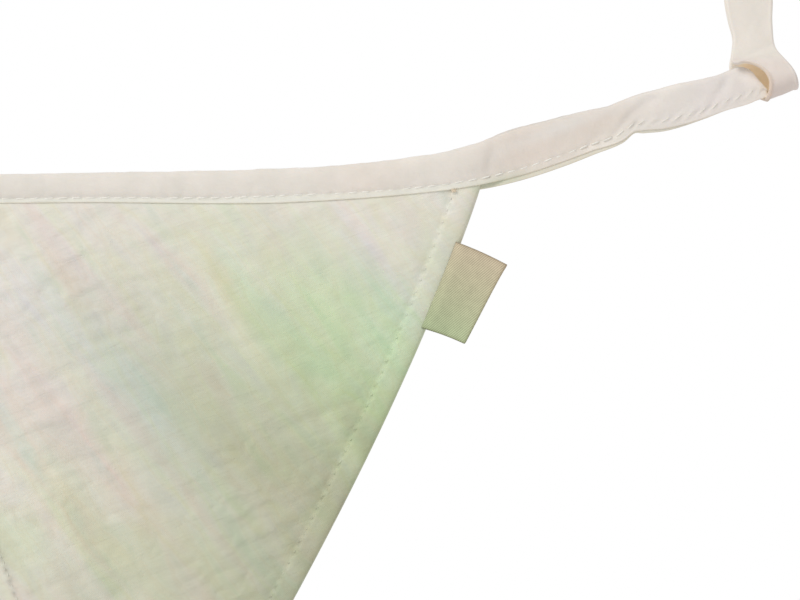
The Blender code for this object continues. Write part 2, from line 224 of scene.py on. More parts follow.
# Longer creases that show on the right pennant: ends in x and z, half width and depth.
Crease = namedtuple("Crease", "x0 z0 x1 z1 width depth")
CREASES = [Crease(*row) for row in [
    (362, -141.5, 386, -131.6, 1.4, 0.34),
    (382, -133, 408, -123.7, 1.4, 0.34),
    (364, -154, 388, -145, 1.4, 0.30),
    (399, -149, 413, -141.4, 1.4, 0.30),
    (420, -128.4, 451, -119.6, 1.3, 0.34),
    (438, -151.2, 470, -137.8, 1.5, 0.34),
    (403, -98.4, 420, -92, 1.4, 0.28),
    (368, -178.2, 378, -172.2, 1.3, 0.34),
    (376, -172.3, 384, -176.4, 1.3, 0.28),
    (431, -175.2, 444, -172, 1.4, 0.32),
    (440, -181, 454, -172, 1.5, 0.30),
    (372, -161, 396, -153.5, 1.5, 0.24),
    (404, -172, 430, -163, 1.6, 0.26),
    (433, -108.6, 443.4, -118, 1.3, 0.28),
    (426, -112.8, 435, -120.2, 1.3, 0.22),
    (394, -148, 406.6, -160.4, 1.4, 0.24),
    (461.3, -88.6, 479.2, -106, 1.6, 0.22),
    (440.3, -87.9, 459.5, -111.5, 1.6, 0.20),
]]
# The low ridge above each crease: its share of the crease's depth and width, and how far up it is.
RIDGE_HEIGHT, RIDGE_WIDTH, RIDGE_UP = 0.5, 1.4, 2.6

# ---- the right loop: stations round the strip, from under the tape up the front and down the back ----
# l and r are the strip's left and right edges, x from the loop's top, z down, y is the depth.
LoopRow = namedtuple("LoopRow", "lx lz rx rz y")
LOOP_FRONT = [LoopRow(*row) for row in [
    (6, -54.8, 14.9, -51.3, -0.4),
    (6.5, -52.5, 14.7, -50.2, -3.8),
    (6.3, -49.9, 14, -48.3, -5),
    (4.8, -47.5, 12.8, -46.3, -5.1),
    (1.7, -45.7, 10.9, -44.1, -4.6),
    (-0.8, -45.2, 9.6, -42.6, -4.1),
    (-2.9, -45.5, 8.7, -41.4, -3.8),
    (-4, -44.7, 8.2, -40.2, -3.5),
    (-3.8, -42.3, 7.9, -38.9, -3.4),
    (-3.4, -38.6, 7.7, -36.8, -3.3),
    (-4.6, -33.6, 7.5, -32.6, -3.3),
    (-5.5, -28.5, 7.6, -28.1, -3.5),
    (-6, -22.5, 7, -22.5, -4),
    (-6.2, -16, 6.4, -16, -4.6),
    (-6.2, -10, 6.2, -10, -5.1),
]]
LOOP_BACK = [LoopRow(*row) for row in [
    (-6.2, -10, 6.2, -10, 5.1),
    (-6.1, -16, 6.4, -16, 4.4),
    (-5.8, -22.5, 7, -22.5, 3.2),
    (-5.3, -28.5, 7.6, -28.8, 2.2),
    (-4.4, -33.4, 7.5, -33.4, 1.8),
    (-3.2, -38.1, 7.6, -37.6, 1.9),
    (-3.4, -42, 8, -41, 2.5),
    (-3.9, -46, 8, -44.2, 3.5),
    (-2.8, -49.8, 8.8, -47.4, 4),
    (0.8, -53.2, 11, -50, 3.7),
    (5.3, -54.9, 13.6, -51.1, 2.3),
]]
LOOP_TOP_RADIUS = 5.2
LOOP_TOP_STEPS = 7
LOOP_STATIONS = 300
LOOP_EDGE_COLUMNS = [0.0, 0.07, 0.18, 0.34, 0.54, 0.78, 1.05, 1.35, 1.75, 2.3]
LOOP_MIDDLE_COLUMNS = 10
# The strip arches a little across. Its lips are rolled, most of all at the cuff round the tape's end.
STRIP_ARCH = 0.25
STRIP_LIP = 0.06
CUFF_LIP = 0.22
CUFF_TROUGH = 0.07
STRIP_HOLLOW = 0.10

# ---- the label ----
# Its ends are shares of the right pennant's drop. Towards its fold it gets narrower: its top is drawn
# down and its foot up.
LABEL_FROM, LABEL_TO = 0.0822, 0.2035
LABEL_LENGTH = 25.2
LABEL_ROWS = 64
LABEL_LAYER_COLUMNS = 40
LABEL_OUT_TOP, LABEL_OUT_FOOT = 15.8, 13.0
LABEL_INSIDE = 1.5
LABEL_FOLD_GAP = 0.07
LABEL_CURL = 0.9
LABEL_WAVE = 0.25
LABEL_MIDDLE_FORWARD = 2.2
LABEL_SEATED, LABEL_SEATED_OVER = 1.1, 1.6
LABEL_ARCH = 0.28
LABEL_DRAWN_TOP, LABEL_DRAWN_FOOT = 0.85, 0.75
LABEL_WAIST = 0.35

# ---- colours, linear, and the darker and lighter tones of the uneven ones ----
CREAM = (0.83, 0.80, 0.75, 1)
BINDING_TONES = ((0.747, 0.7161, 0.6578, 1), (0.8964, 0.8316, 0.7722, 1))
THREAD_TONES = ((0.828, 0.7958, 0.736, 1), (0.90, 0.865, 0.80, 1))
LABEL_TONES = ((0.528, 0.444, 0.32, 1), (0.7656, 0.6438, 0.464, 1))
FLOOR_TONES = ((0.86, 0.855, 0.845, 1), (0.90, 0.895, 0.885, 1))
TAPE_THREAD_TINT = (1.09, 1.11, 1.12)
# The back tack under the tape's lip is darker: painted shade.
TACK_SHADE_TINT = (0.92, 0.80, 0.66)

# Tints of a pennant: its hem, painted shade on its rim, and painted shade in the dip beside its stitching.
HEM_TINT = (1.0, 1.0, 0.99)
RIM_SHADE_TINT = (0.86, 0.86, 0.80)
DIP_SHADE_TINT = (0.95, 0.95, 0.94)

# Tints of the tape: its lip, its lip on the free ends, painted shade at its edge, and painted shade on the
# inside of its back lip.
LIP_TINT = (1.075, 1.12, 1.09)
TAIL_LIP_TINT = (0.975, 0.93, 0.945)
EDGE_SHADE_TINT = (0.98, 0.95, 0.90)
BACK_LIP_SHADE_TINT = (0.91, 0.94, 0.90)

# Tints of the label: its cut edges and fold, its foot, and painted shade on its side by the seam.
LABEL_EDGE_TINT = (0.62, 0.56, 0.48)
LABEL_FOOT_TINT = (0.76, 1.06, 0.88)
LABEL_SEAM_SHADE_TINT = (0.80, 0.82, 0.80)

# Light that reaches the inside of the end loops comes through their cloth, and is warm on the right.
POCKET_TINT = (1.14, 0.995, 0.79)
POCKET_LEFT_TINT = (1.12, 1.11, 1.10)
# The lip of the cuff gets painted shade.
LOOP_LIP_SHADE_TINT = (0.94, 0.88, 0.80)
CUFF_TINT = (0.965, 0.935, 0.95)
CUFF_FOOT_TINT = (0.90, 0.87, 0.87)

# Streaks of the muslin, by (position in the noise, tint).
BROAD_STREAKS = [
    (0.30, (0.94, 1, 0.96)), (0.42, (1, 1, 1)), (0.50, (0.985, 1, 0.93)), (0.57, (1, 0.993, 0.99)),
    (0.66, (1, 0.948, 0.965)), (0.76, (0.93, 0.965, 1)),
]
FINE_STREAKS = [
    (0.28, (0.93, 0.965, 0.945)), (0.44, (1, 1, 1)), (0.52, (0.99, 0.968, 0.945)), (0.60, (1, 1, 1)),
    (0.72, (0.96, 0.955, 0.99)),
]

# Faint washes of colour, and patches of painted shade and painted light: middle, angle, half length and
# width, tint. Those of the right pennant, which the others repeat with changes, and those of the tape.
TintPatch = namedtuple("TintPatch", "x z angle length width tint")
PENNANT_WASHES_AND_SHADE = [TintPatch(*row) for row in [
    # Painted shade with an olive cast: darker towards the pennant's lower right.
    (455, -218, -60, 92, 72, (0.60, 0.65, 0.52)),
    (437, -138, -52, 42, 26, (0.88, 0.945, 0.86)),
    (421, -135, -50, 36, 15, (0.88, 0.885, 0.865)),
    (443, -161, -52, 27, 14, (0.95, 0.92, 0.88)),
    (461, -116, -52, 34, 13, (0.90, 1.02, 0.88)),
    (464, -138, -58, 34, 14, (0.86, 0.93, 0.79)),
    (442, -118, -52, 34, 5, (0.93, 0.98, 0.89)),
    (475, -139, 63, 52, 7, (0.96, 0.99, 0.94)),
    (404, -136, -52, 28, 8, (0.87, 0.94, 0.97)),
    (400, -161, -52, 26, 4, (1.05, 0.97, 0.98)),
    (387, -170, -54, 26, 6, (1.00, 1.03, 0.89)),
    (373, -179, -54, 10, 8, (0.93, 0.99, 0.93)),
    (471, -98, -46, 17, 3, (0.93, 0.93, 0.98)),
    (490, -101, -54, 16, 9, (0.93, 0.97, 0.93)),
    (479, -123, -54, 16, 9, (0.95, 1.02, 0.94)),
    (470, -144, -54, 14, 9, (0.955, 0.98, 0.95)),
    (455, -177, -60, 22, 10, (1.045, 1.035, 1.06)),
    (430, -108, -60, 16, 3, (1, 0.955, 0.91)),
    (385, -105, -58, 13, 2.5, (1, 0.97, 0.93)),
    (477, -112, -54, 12, 7, (0.90, 1, 0.94)),
    (459, -95, -54, 12, 7, (0.94, 0.94, 0.945)),
    (443, -95, -54, 12, 7, (0.975, 0.925, 0.975)),
    (392, -162, -54, 12, 6, (1.03, 1.06, 1.04)),
    (374, -112, -54, 14, 6, (1, 1, 1.07)),
]]
TAPE_WASHES_LIGHT_AND_SHADE = [TintPatch(*row) for row in [
    (514, -70, 20, 15, 9, (0.93, 0.885, 0.87)),
    (536, -64, 20, 13, 8, (0.92, 0.87, 0.85)),
    (470, -78, 5, 12, 9, (1, 0.97, 0.96)),
    (566, -55, 20, 18, 9, (1, 0.985, 1.03)),
    # Painted light over the shadow that the cuff's lip casts on the tape.
    (577, -48, -35, 5, 3, (1.10, 1.10, 1.11)),
    (539, -65.4, 20, 14, 2.7, (1.12, 1.165, 1.175)),
    (526, -62.2, 20, 17, 1.8, (1.03, 1.08, 1.12)),
    (558, -56.5, 20, 4, 9, (1.045, 1.045, 1.035)),
    # Painted shade on the back lip, under the front lip's edge.
    (507, -77.8, 17, 9, 1.5, (0.84, 0.90, 0.83)),
]]


# ---- curves and noise ----


def curve_through(keys, values, at):
    """A smooth curve through (key, value) rows, read at the given keys."""
    keys, values, at = (np.asarray(a, float) for a in (keys, values, at))
    secants = np.diff(values) / np.diff(keys)
    slopes = np.concatenate([secants[:1], (secants[:-1] + secants[1:]) / 2, secants[-1:]])
    i = np.clip(np.searchsorted(keys, at) - 1, 0, len(keys) - 2)
    span = keys[i + 1] - keys[i]
    u = np.clip((at - keys[i]) / span, 0, 1)
    rise = values[i] * (2 * u**3 - 3 * u**2 + 1) + values[i + 1] * (3 * u**2 - 2 * u**3)
    return rise + span * (slopes[i] * (u**3 - 2 * u**2 + u) + slopes[i + 1] * (u**3 - u**2))


NOISE_CELLS = 97


def soft_noise(u, v, seed):
    """Smooth noise from -1 to 1, with about one swing to a unit."""
    cells = np.random.default_rng(seed).uniform(-1, 1, (NOISE_CELLS, NOISE_CELLS))
    iu, iv = np.floor(u).astype(int), np.floor(v).astype(int)
    fu, fv = u - iu, v - iv
    fu, fv = (f**3 * (f * (6 * f - 15) + 10) for f in (fu, fv))
    iu, iv, ju, jv = (i % NOISE_CELLS for i in (iu, iv, iu + 1, iv + 1))
    low = cells[iv, iu] * (1 - fu) + cells[iv, ju] * fu
    high = cells[jv, iu] * (1 - fu) + cells[jv, ju] * fu
    return low * (1 - fv) + high * fv


def turned(x, z, degrees):
    """Distances along and across a direction in the plane of x and z."""
    c, s = math.cos(math.radians(degrees)), math.sin(math.radians(degrees))
    return x * c + z * s, z * c - x * s


def unit(vectors):
    """The vectors at a length of 1."""
    return vectors / np.maximum(np.linalg.norm(vectors, axis=-1, keepdims=True), 1e-9)


def smooth(share):
    """A soft step from 0 to 1 as share goes from 0 to 1."""
    share = np.clip(share, 0, 1)
    return share * share * (3 - 2 * share)


def rounded(share):
    """The rise of a quarter circle from 0 to 1 as share goes from 0 to 1."""
    share = np.clip(share, 0, 1)
    return np.sqrt(share * (2 - share))


def bell(offset, width):
    """1 at an offset of 0, and falling to 0 on both sides over a few widths."""
    return np.exp(-((offset / width) ** 2))


def swell(share, power):
    """Rises from 0 to 1 and falls back to 0 as share goes from 0 to 1. A low power peaks early."""
    return np.sin(np.pi * np.clip(share, 0, 1) ** power)


def columns_across(edge, width, count):
    """Distances across a sheet: those of the edge at both sides, and count even ones between them."""
    share = np.linspace(0, 1, count + 2)[None, 1:-1]
    between = edge[:, -1:] + (width - 2 * edge[:, -1:]) * share
    return np.concatenate([edge, between, width - edge[:, ::-1]], axis=1)


# ---- the tape's and the pennants' middle surfaces ----

TAPE_X = [row.x for row in TAPE]


def tape_value(name, x):
    """One column of the tape's table, read at x on either side of the middle."""
    return curve_through(TAPE_X, [getattr(row, name) for row in TAPE], np.abs(x))


def tape_centre(x):
    """The tape's centre line at x."""
    return np.stack([x, tape_value("y", x), tape_value("z", x)], -1)


def tape_frame(x):
    """The tape at x: centre, across (lower edge to fold), facing (out of its front) and width."""
    x = np.asarray(x, float)
    held = np.clip(x, -TAPE_TURNS_TO, TAPE_TURNS_TO)
    along = unit(tape_centre(held + TAPE_TANGENT_STEP) - tape_centre(held - TAPE_TANGENT_STEP))
    facing = unit(np.array([0.0, -1.0, 0.0]) + along[..., 1:2] * along)
    across = np.cross(facing, along)
    roll = np.radians(tape_value("roll", x))[..., None]
    tilted = across * np.cos(roll) - facing * np.sin(roll)
    faced = facing * np.cos(roll) + across * np.sin(roll)
    return tape_centre(x), tilted, faced, tape_value("width", x)


def pennant_ends(index):
    """Where the index-th pennant meets the tape, left and right."""
    middle = (index - (PENNANT_COUNT - 1) / 2) * (PENNANT_WIDTH + PENNANT_GAP)
    return middle - PENNANT_WIDTH / 2, middle + PENNANT_WIDTH / 2


def outside_pennants(x):
    """How far x is outside the nearest pennant."""
    ends = [pennant_ends(index) for index in range(PENNANT_COUNT)]
    return np.min([np.maximum(np.maximum(left - x, x - right), 0) for left, right in ends], axis=0)


def tape_gap(x):
    """The space inside the fold at x."""
    shut = smooth((outside_pennants(x) - FOLD_SHUTS_FROM) / FOLD_SHUTS_OVER)
    return FOLD_OPEN + (FOLD_SHUT - FOLD_OPEN) * shut


def pennant_middle(index, s, q):
    """The pennant's middle surface in mm. s runs left to right, q is 0 to 1 from the tape's lower
    edge to the tip, and down to -1 at the top edge inside the tape."""
    p = PENNANTS[index]
    left, right = pennant_ends(index)
    centre, across, _, width = tape_frame(left + (right - left) * s)
    width = width[..., None]
    v = np.maximum(q, 0)
    low = centre - across * width / 2
    in_tape = low + across * (width - TOP_EDGE_BELOW_FOLD) * np.maximum(-q, 0)[..., None]
    middle_centre, middle_across, _, middle_width = tape_frame(np.array((left + right) / 2))
    lower = middle_centre - middle_across * middle_width / 2
    tip = np.array([(left + right) / 2 + p.lean, -p.tip, lower[2] - p.drop])
    point = low + (tip - low) * v[..., None]
    side = 2 * s - 1
    point[..., 0] += (p.bulge_right * s - p.bulge_left * (1 - s)) * swell(v, BULGE_POWER)
    point[..., 0] += side * TIP_HALF_WIDTH * v
    folds = p.fold * np.sin(2 * np.pi * (p.count * s + p.phase)) * swell(v, FOLD_POWER)
    belly = p.belly * swell(s, 1) * swell(v, 1)
    point[..., 1] += p.twist * side * swell(v, TWIST_POWER) - belly - folds
    return np.where(q[..., None] < 0, in_tape, point)


def row_widths(index, q):
    """How wide the pennant is at each row."""
    ends = [pennant_middle(index, np.full_like(q, s), q) for s in (0.0, 1.0)]
    return np.where(q < 0, PENNANT_WIDTH, np.linalg.norm(ends[1] - ends[0], axis=-1))


# ---- the pennants' relief ----


def crinkled(x, z, seed):
    """Relief of the crinkled muslin at x and z: puffs between narrow valleys, on a soft roll. It is
    stronger in some parts of the cloth than in others."""
    height = np.zeros_like(x)
    for number, c in enumerate(CRINKLES):
        own_seed = seed + 31 * number
        along, across = turned(x, z, c.angle)
        wander = CRINKLE_WANDER * soft_noise(along / c.length * 1.7, across / c.width / 4, own_seed + 7)
        puffs = soft_noise(along / c.length, across / c.width + wander, own_seed)
        height += c.height * (puffs - VALLEY_DEPTH * bell(puffs, VALLEY_WIDTH))
    strength = 0.75 + 0.45 * soft_noise(x / 34, z / 27, seed + 999)
    along, across = turned(x, z, ROLL.angle)
    return height * strength + ROLL.height * soft_noise(along / ROLL.length, across / ROLL.width, seed + 400)


def creased(x, z, creases):
    """Relief of the longer creases: bent troughs that fade out at their ends, with a ridge above each."""
    height = np.zeros_like(x)
    for c in creases:
        degrees = math.degrees(math.atan2(c.z1 - c.z0, c.x1 - c.x0))
        half = math.hypot(c.x1 - c.x0, c.z1 - c.z0) / 2
        along, across = turned(x - (c.x0 + c.x1) / 2, z - (c.z0 + c.z1) / 2, degrees)
        share = along / half
        bent = across + 0.5 * np.sin(share * 2.2) - 0.25 * np.sin(share * 5.1)
        ridge = RIDGE_HEIGHT * bell(bent - RIDGE_UP, c.width * RIDGE_WIDTH)
        height -= c.depth * np.exp(-(share**4)) * (bell(bent, c.width) - ridge)
    return height


def stitch_wave(count):
    """1 over the middle of a stitch and -1 over its needle holes, by the stitches counted so far."""
    return -np.cos(2 * np.pi * count)


def needle_holes(wave):
    """1 in the needle holes and 0 between them, by the stitch wave."""
    return np.clip(-wave, 0, 1) ** 6


def seam_shares(index):
    """The rows down to where the two side seams of a pennant meet, and the seam's share of each."""
    q = np.linspace(0, SEAM_LAST_ROW, 600)
    widths = row_widths(index, q)
    wide = widths > SEAM_LAST_WIDTH * HEM
    return q[wide], HEM / widths[wide]


def seam_line(index, left):
    """One side seam of a pennant: its rows, its line in space, the stitches so far and the normal
    there."""
    q, share = seam_shares(index)
    share = share if left else 1 - share
    s = np.stack([share - 0.004, share, share + 0.004], 1)
    middle = pennant_middle(index, s, np.broadcast_to(q[:, None], s.shape).copy())
    steps = np.linalg.norm(np.diff(middle[:, 1], axis=0), axis=1)
    return q, middle[:, 1], np.concatenate([[0], np.cumsum(steps)]) / HEM_PITCH, normals_of(middle)[:, 1]


def seam_wave(index, s, q):
    """The stitch wave of the nearer side seam, at every row and column."""
    runs = []
    for left in (True, False):
        rows, _, count, _ = seam_line(index, left)
        runs.append(np.interp(q[:, :1], rows, count))
    return stitch_wave(np.where(s < 0.5, *runs))


def seam_fade(q):
    """1 along the side seams, and falling to 0 at the row where they stop."""
    return np.clip((SEAM_LAST_ROW - q) / SEAM_FADES_OVER, 0, 1)


def seam_scallop(index, s, q, from_side):
    """How far the hem's inner edge is pushed in between the needle holes."""
    return HEM_SCALLOP * seam_wave(index, s, q) * bell(from_side - HEM, 1.5) * seam_fade(q)


def pennant_heights(index, s, q, widths, side):
    """How far the front (side 1) or back (side -1) face stands off the middle surface."""
    point = pennant_middle(index, s, q)
    x, z = point[..., 0], point[..., 2]
    from_side = np.minimum(s, 1 - s) * widths
    from_seam = from_side - HEM
    wave = seam_wave(index, s, q)
    height = curve_through(*zip(*HEM_HEIGHTS), from_side - seam_scallop(index, s, q, from_side))
    height += 0.08 * wave * np.exp(-np.abs(from_seam) / 2.4) * seam_fade(q)
    height -= PIT_DEPTH * needle_holes(wave) * bell(from_seam, 0.45) * seam_fade(q)
    body = smooth((from_seam - 0.4) / 4)
    relief = crinkled(x, z, 100 * index + (0 if side > 0 else 50))
    if index == PENNANT_COUNT - 1:
        relief += creased(x, z, CREASES) * (1 if side > 0 else -0.5)
    height += relief * (HEM_CRINKLE_SHARE + (1 - HEM_CRINKLE_SHARE) * body)
    height += 0.09 * soft_noise(x / 3.5, z / 6, 100 * index + 61) * (1 - body)
    from_tip = (1 - np.maximum(q, 0)) * PENNANTS[index].drop
    height *= rounded(from_side / 0.9) * rounded(from_tip / 1.6)
    in_tape = np.clip(1 - q / TAPE_LETS_GO_BY, 0, 1)
    return height * (1 - in_tape) + np.minimum(height, PANEL_HALF_IN_TAPE) * in_tape


# ---- meshes ----


def normals_of(points, ring=False):
    """Unit normals of a grid of points, rows by columns."""
    if ring:
        padded = np.concatenate([points[-2:], points, points[:2]])
        down = np.gradient(padded, axis=0)[2:-2]
    else:
        down = np.gradient(points, axis=0)
    return unit(np.cross(down, np.gradient(points, axis=1)))


def add_mesh(name, points, quads, tints, material, cloth_uv=None):
    """A mesh object from vertices in mm, four-cornered faces and a tint for each vertex."""
    mesh = bpy.data.meshes.new(name)
    mesh.vertices.add(len(points))
    mesh.vertices.foreach_set("co", (points * MM).astype(np.float32).ravel())
    mesh.loops.add(quads.size)
    mesh.loops.foreach_set("vertex_index", quads.astype(np.int32).ravel())
    mesh.polygons.add(len(quads))
    mesh.polygons.foreach_set("loop_start", np.arange(0, quads.size, 4, dtype=np.int32))
    mesh.update(calc_edges=True)
    mesh.validate()
    colours = np.ones((len(points), 4), np.float32)
    colours[:, :3] = tints
    mesh.attributes.new("tints_and_painted_light", "FLOAT_COLOR", "POINT").data.foreach_set("color", colours.ravel())
    if cloth_uv is not None:
        layer = mesh.uv_layers.new(name="cloth")
        layer.data.foreach_set("uv", cloth_uv[quads.ravel()].astype(np.float32).ravel())
    mesh.materials.append(material)
    mesh.shade_smooth()
    obj = bpy.data.objects.new(name, mesh)
    bpy.context.scene.collection.objects.link(obj)
    return obj


def add_sheet(name, middle, heights, tints, cloth_uv, material, ring=False):
    """A closed sheet: front and back faces at their heights off the middle, sharing its edges. heights
    and tints are given for the front and the back."""
    rows, columns = middle.shape[:2]
    inner = np.ones((rows, columns), bool)
    inner[:, [0, -1]] = False
    if not ring:
        inner[[0, -1], :] = False
    normals = normals_of(middle, ring)
    front_points = middle + normals * (heights[0] * inner)[..., None]
    back_points = middle - normals * heights[1][..., None]
    front_ids = np.arange(rows * columns).reshape(rows, columns)
    back_ids = front_ids.copy()
    back_ids[inner] = rows * columns + np.arange(inner.sum())

    def quads_of(ids):
        ids = np.concatenate([ids, ids[:1]]) if ring else ids
        return np.stack([ids[:-1, :-1], ids[1:, :-1], ids[1:, 1:], ids[:-1, 1:]], -1).reshape(-1, 4)

    def both(front, back):
        return np.concatenate([front.reshape(-1, front.shape[-1]), back[inner]])

    quads = np.concatenate([quads_of(front_ids), quads_of(back_ids)[:, ::-1]])
    points = both(front_points, back_points)
    return add_mesh(name, points, quads, both(*tints), material, both(cloth_uv, cloth_uv))


def add_stitches(name, starts, ends, ups, tints, material):
    """Stitches as one mesh: each a short arched thread whose ends sink into the cloth."""
    shares, lifts = np.array(STITCH_SHARES), np.array(STITCH_LIFTS)
    run = ends - starts
    path = starts[:, None] + run[:, None] * shares[None, :, None] + ups[:, None] * lifts[None, :, None]
    tangent = unit(np.gradient(path, axis=1))
    across = unit(np.cross(tangent, ups[:, None]))
    upward = np.cross(across, tangent)
    turn = np.arange(THREAD_SIDES) * 2 * np.pi / THREAD_SIDES
    ring = upward[:, :, None] * (THREAD_FLATTENED * np.cos(turn))[:, None]
    ring = ring + across[:, :, None] * np.sin(turn)[:, None]
    points = path[:, :, None] + ring * (THREAD_RADIUS * np.array(STITCH_SWELLS))[None, :, None, None]
    count, steps = len(starts), len(shares)
    ids = np.arange(count * steps * THREAD_SIDES).reshape(count, steps, THREAD_SIDES)
    after = np.roll(ids, -1, axis=2)
    walls = np.stack([ids[:, :-1], after[:, :-1], after[:, 1:], ids[:, 1:]], -1).reshape(-1, 4)
    caps = []
    for end, order in ((ids[:, 0], (3, 2, 1, 0)), (ids[:, -1], (0, 1, 2, 3))):
        caps.append(np.stack([end[:, k] for k in order], -1))
        caps.append(np.stack([end[:, (k + 3) % THREAD_SIDES] for k in order], -1))
    tints = np.repeat(tints, steps * THREAD_SIDES, axis=0)
    return add_mesh(name, points.reshape(-1, 3), np.concatenate([walls, *caps]), tints, material)


def seam_stitches(line, counted, ups, slant):
    """Stitch starts and ends along a line of points, with the stitches counted so far at each. The
    needle holes are at whole counts, and slant is how far each end is off the line."""
    gap = (1 - STITCH_SHARE) / 2
    begins = np.arange(int(counted[-1])) + gap
    finishes = begins + 1 - 2 * gap
    slants = np.interp(begins, counted, np.broadcast_to(slant, counted.shape))[:, None]

    def at(where, values):
        return np.stack([np.interp(where, counted, values[:, axis]) for axis in range(3)], -1)

    up = unit(at((begins + finishes) / 2, ups))
    shift = unit(np.cross(at(finishes, line) - at(begins, line), up)) * slants
    return at(begins, line) - shift, at(finishes, line) + shift, up


# ---- materials ----


def node(tree, kind, inputs=None, **settings):
    """A node with its settings made, and its inputs set or linked."""
    made = tree.nodes.new(kind)
    for key, value in settings.items():
        setattr(made, key, value)
    for key, value in (inputs or {}).items():
        if isinstance(value, bpy.types.NodeSocket):
            tree.links.new(value, made.inputs[key])
        else:
            made.inputs[key].default_value = value
    return made


def new_material(name, roughness, sheen, subsurface=0.0):
    """A material, its tree, its shader and the place on the object in metres."""
    material = bpy.data.materials.new(name)
    material.use_nodes = True
    tree = material.node_tree
    shader = tree.nodes["Principled BSDF"]
    settings = {"Roughness": roughness, "Sheen Weight": sheen, "Sheen Roughness": 0.5,
                "Subsurface Weight": subsurface, "Subsurface Radius": (0.0022, 0.0016, 0.0011),
                "Subsurface Scale": 1.0, "Specular IOR Level": 0.25}
    for key, value in settings.items():
        shader.inputs[key].default_value = value
    return material, tree, shader, node(tree, "ShaderNodeTexCoord").outputs["Object"]


def cloth_place(tree):
    """The place on the flat sheet, in mm."""
    return node(tree, "ShaderNodeUVMap", uv_map="cloth").outputs[0]


def noise(tree, place, scale, detail=2.0, distortion=0.0):
    """Noise from 0 to 1."""
    inputs = {"Vector": place, "Scale": scale, "Detail": detail, "Distortion": distortion}
    return node(tree, "ShaderNodeTexNoise", inputs).outputs["Fac"]


def worked_out(tree, operation, *values):
    """The result of a step of arithmetic."""
    return node(tree, "ShaderNodeMath", dict(enumerate(values)), operation=operation).outputs[0]


def scaled(tree, value, factor, offset=0.0):
    """The value times a factor, plus an offset."""
    return worked_out(tree, "MULTIPLY_ADD", value, factor, offset)


def added(tree, total, *more):
    """The sum of the values."""
    for value in more:
        total = worked_out(tree, "ADD", total, value)
    return total


def mixed(tree, factor, low, high, blend="MIX"):
    """A colour that goes from low to high with the factor."""
    inputs = {"Factor": factor, "A": low, "B": high}
    return node(tree, "ShaderNodeMix", inputs, data_type="RGBA", blend_type=blend).outputs["Result"]


def times(tree, colour, factor):
    """A colour multiplied by a colour or a grey value."""
    return mixed(tree, 1.0, colour, factor, "MULTIPLY")


def rotated(tree, place, turns):
    """The place turned about X, Y and Z, in degrees."""
    turns = [math.radians(degrees) for degrees in turns]
    return node(tree, "ShaderNodeMapping", {"Vector": place, "Rotation": turns}).outputs[0]


def stretched(tree, place, degrees, along, across):
    """The place for noise that is drawn out along a direction in the plane of x and z. along and
    across are the lengths in metres of one swing of the noise."""
    inputs = {"Vector": rotated(tree, place, (0, degrees, 0)), "Scale": (1 / along, 1 / across, 1 / across)}
    return node(tree, "ShaderNodeMapping", inputs).outputs[0]


def waves(tree, place, axis, pitch):
    """Even waves of the given pitch, from -1 to 1 along one axis."""
    split = node(tree, "ShaderNodeSeparateXYZ", {0: place})
    return worked_out(tree, "SINE", scaled(tree, split.outputs[axis], 2 * math.pi / pitch))


def plain_weave(tree, place, pitch):
    """Height of a plain weave: threads of the given pitch in mm, over and under each other."""
    return worked_out(tree, "MULTIPLY", waves(tree, place, 0, pitch), waves(tree, place, 1, pitch))


def streak_tints(tree, place, stops):
    """Tints from stretched noise, by (position, tint) stops."""
    made = node(tree, "ShaderNodeValToRGB", {"Fac": noise(tree, place, 1.0, 1.2, 0.5)})
    ramp = made.color_ramp
    while len(ramp.elements) < len(stops):
        ramp.elements.new(0.5)
    for element, (position, tint) in zip(ramp.elements, stops):
        element.position = position
        element.color = (*tint, 1)
    return made.outputs[0]


def surfaced(tree, shader, colour, height, strength, distance):
    """Gives the shader its colour, times the tints, painted shade and painted light that the mesh carries,
    and its bump.
    """
    tints_and_painted_light = node(tree, "ShaderNodeAttribute", attribute_name="tints_and_painted_light").outputs["Color"]
    bump = node(tree, "ShaderNodeBump", {"Height": height, "Strength": strength, "Distance": distance})
    tree.links.new(times(tree, colour, tints_and_painted_light), shader.inputs["Base Color"])
    tree.links.new(bump.outputs[0], shader.inputs["Normal"])


def muslin_material():
    """Cream muslin: faint pastel streaks that fall to the right, mottling, fine crinkles and a weave."""
    material, tree, shader, place = new_material("muslin", 0.93, 0.25, 0.05)
    broad = streak_tints(tree, stretched(tree, place, -52, 0.060, 0.011), BROAD_STREAKS)
    fine = streak_tints(tree, stretched(tree, place, -54, 0.019, 0.0050), FINE_STREAKS)
    mottle = scaled(tree, noise(tree, place, 230, 4.0), 0.14, 0.93)
    slubs = scaled(tree, noise(tree, stretched(tree, place, 20, 0.012, 0.0011), 1.0), 0.05, 0.975)
    colour = CREAM
    for factor in (broad, fine, mottle, slubs):
        colour = times(tree, colour, factor)
    weave = scaled(tree, plain_weave(tree, cloth_place(tree), 0.62), 0.10)
    rising = scaled(tree, noise(tree, stretched(tree, place, 20, 0.007, 0.0014), 1.0, 2.0, 0.6), 0.9)
    falling = scaled(tree, noise(tree, stretched(tree, place, -53, 0.007, 0.0018), 1.0, 2.0, 0.6), 0.4)
    grain = scaled(tree, noise(tree, place, 1500), 0.20)
    surfaced(tree, shader, colour, added(tree, weave, rising, falling, grain), 0.6, 0.0004)
    return material


def binding_material():
    """Warm white plain-weave tape, cut on the bias, slightly uneven in tone."""
    material, tree, shader, place = new_material("binding", 0.88, 0.3, 0.10)
    colour = mixed(tree, noise(tree, place, 130, 4.0), *BINDING_TONES)
    on_the_bias = rotated(tree, cloth_place(tree), (0, 0, 45))
    weave = scaled(tree, plain_weave(tree, on_the_bias, 0.42), 0.14)
    fine = scaled(tree, noise(tree, place, 1300, 3.0), 0.45)
    soft = scaled(tree, noise(tree, place, 480, 3.0), 0.9)
    surfaced(tree, shader, colour, added(tree, fine, weave, soft), 0.45, 0.00035)
    return material


